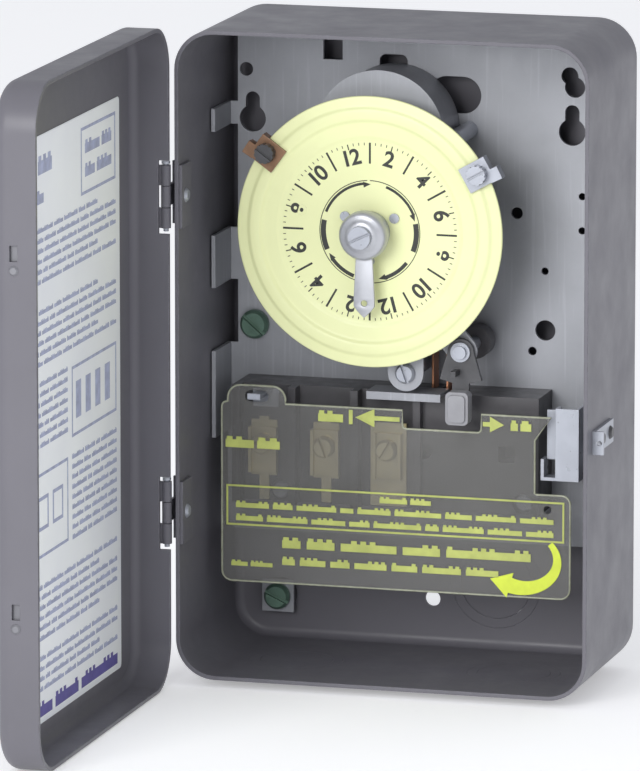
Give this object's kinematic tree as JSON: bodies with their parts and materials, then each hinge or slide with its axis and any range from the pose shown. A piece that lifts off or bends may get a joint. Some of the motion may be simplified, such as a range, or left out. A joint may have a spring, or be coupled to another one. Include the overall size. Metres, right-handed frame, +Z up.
{
  "type": "24-hour mechanical time switch",
  "caption": "Wall-mounted mechanical time switch: hinged steel case, geared 24-hour dial with on and off trippers, manual lever, terminal block and clear insulator.",
  "frame": {"origin": "middle of the case's flat back, on the wall's face", "axes": "+X to the right, +Y into the wall, +Z up; the door opens toward -Y"},
  "size_m": [0.1448, 0.1937, 0.201],
  "materials": {
    "enamel_grey": "satin grey enamel, lightly worn",
    "zinc_plate": "dull zinc-plated steel sheet",
    "zinc_part": "bright zinc-plated small part",
    "dark_steel": "dark phosphated steel",
    "dial_yellow": "pale yellow printed enamel",
    "pointer_metal": "bright pressed aluminium",
    "brass": "plain brass",
    "bronze": "bronze-plated steel",
    "copper": "bare copper alloy",
    "bakelite": "black moulded phenolic",
    "knob_grey": "grey moulded knob",
    "clear_sheet": "smoky clear plastic sheet",
    "label_paper": "pale printed label",
    "green_screw": "green-dyed zinc",
    "coil_wire": "enamelled copper winding",
    "magnet": "ferrite and steel rotor"
  },
  "bodies": {
    "case": {"case_shell": "enamel_grey", "knockout_rings": "enamel_grey", "knockout_slugs": "enamel_grey", "case_hinge_leaves": "enamel_grey", "hinge_pins": "zinc_part", "hinge_rivets": "zinc_part", "hasp_bracket": "zinc_part", "hasp_rivets": "dark_steel", "ground_boss": "dark_steel", "ground_washer": "zinc_plate", "ground_screw": "green_screw", "mechanism_plate": "zinc_plate", "plate_screw": "green_screw", "plate_boss": "dark_steel", "spring_clip": "zinc_part", "clip_screw": "zinc_part", "motor_posts": "zinc_part", "motor_can": "zinc_plate", "motor_coil": "coil_wire", "reduction_gearbox": "brass", "motor_lid": "zinc_plate", "motor_screws": "zinc_part", "bridge_pillars": "zinc_part", "bridge_plate": "zinc_plate", "bridge_screws": "zinc_part", "dial_post": "zinc_part", "dial_spring": "zinc_part", "time_pointer": "pointer_metal", "pointer_screw": "zinc_part", "fixed_contact": "copper", "terminal_block": "bakelite", "block_screws": "zinc_part", "terminal_straps": "brass", "terminal_clamps": "brass", "terminal_screws": "brass", "contact_guard": "zinc_plate", "insulator_hook": "zinc_part"},
    "door": {"door_shell": "enamel_grey", "door_catches": "zinc_part", "door_hinge_leaves": "enamel_grey", "door_label": "label_paper"},
    "sleeve": {"dial_sleeve": "brass", "sleeve_ring": "dark_steel"},
    "dial": {"dial_hub": "zinc_part", "dial_gear": "brass", "dial_face": "dial_yellow", "dial_rivets": "zinc_part"},
    "on_clip": {"on_tripper": "bronze", "on_tripper_screw": "dark_steel"},
    "off_clip": {"off_tripper": "zinc_part", "off_tripper_screw": "zinc_part"},
    "pinion": {"drive_pinion": "brass"},
    "rotor": {"motor_rotor": "magnet"},
    "lever": {"trip_lever": "dark_steel", "lever_knob": "knob_grey", "lever_shaft": "zinc_part", "shaft_ring": "dark_steel", "switch_cam": "bakelite"},
    "contact": {"moving_contact": "copper"},
    "cover": {"insulator": "clear_sheet"}
  },
  "joints": [
    {"name": "door_hinge", "type": "hinge", "parent": "case", "child": "door", "pos_m": [-0.0664, -0.0613, 0], "axis": [0, 0, -1], "range_deg": [-90, 80]},
    {"name": "dial_pull", "type": "slide", "parent": "case", "child": "sleeve", "axis": [0, -1, 0], "range_m": [0, 0.003], "stiffness_N_per_m": 800, "springref_m": -0.003, "deforming": ["dial_spring"]},
    {"name": "dial_spin", "type": "hinge", "parent": "sleeve", "child": "dial", "pos_m": [-0.0084, -0.043, 0.037], "axis": [0, -1, 0], "continuous": true},
    {"name": "pinion_spin", "type": "hinge", "parent": "case", "child": "pinion", "pos_m": [-0.0084, -0.039, 0.064], "axis": [0, -1, 0], "continuous": true},
    {"name": "rotor_spin", "type": "hinge", "parent": "case", "child": "rotor", "pos_m": [-0.0084, -0.019, 0.064], "axis": [0, -1, 0], "continuous": true},
    {"name": "on_clip_set", "type": "hinge", "parent": "dial", "child": "on_clip", "pos_m": [-0.0084, -0.043, 0.037], "axis": [0, -1, 0], "range_deg": [-45, 45]},
    {"name": "off_clip_set", "type": "hinge", "parent": "dial", "child": "off_clip", "pos_m": [-0.0084, -0.043, 0.037], "axis": [0, -1, 0], "range_deg": [-45, 45]},
    {"name": "lever_tilt", "type": "hinge", "parent": "case", "child": "lever", "pos_m": [0.0184, -0.038, 0.001], "axis": [0, 1, 0], "range_deg": [0, 30]},
    {"name": "contact_swing", "type": "hinge", "parent": "case", "child": "contact", "pos_m": [0.00997, -0.019, -0.024], "axis": [0, -1, 0], "range_deg": [0, 3]},
    {"name": "insulator_lift", "type": "hinge", "parent": "case", "child": "cover", "pos_m": [-0.0455, -0.0365, -0.016], "axis": [-1, 0, 0], "range_deg": [0, 40]}
  ],
  "couplings": [
    {"joint": "pinion_spin", "follows": "dial_spin", "ratio": -8},
    {"joint": "contact_swing", "follows": "lever_tilt", "ratio": 0.1}
  ]
}
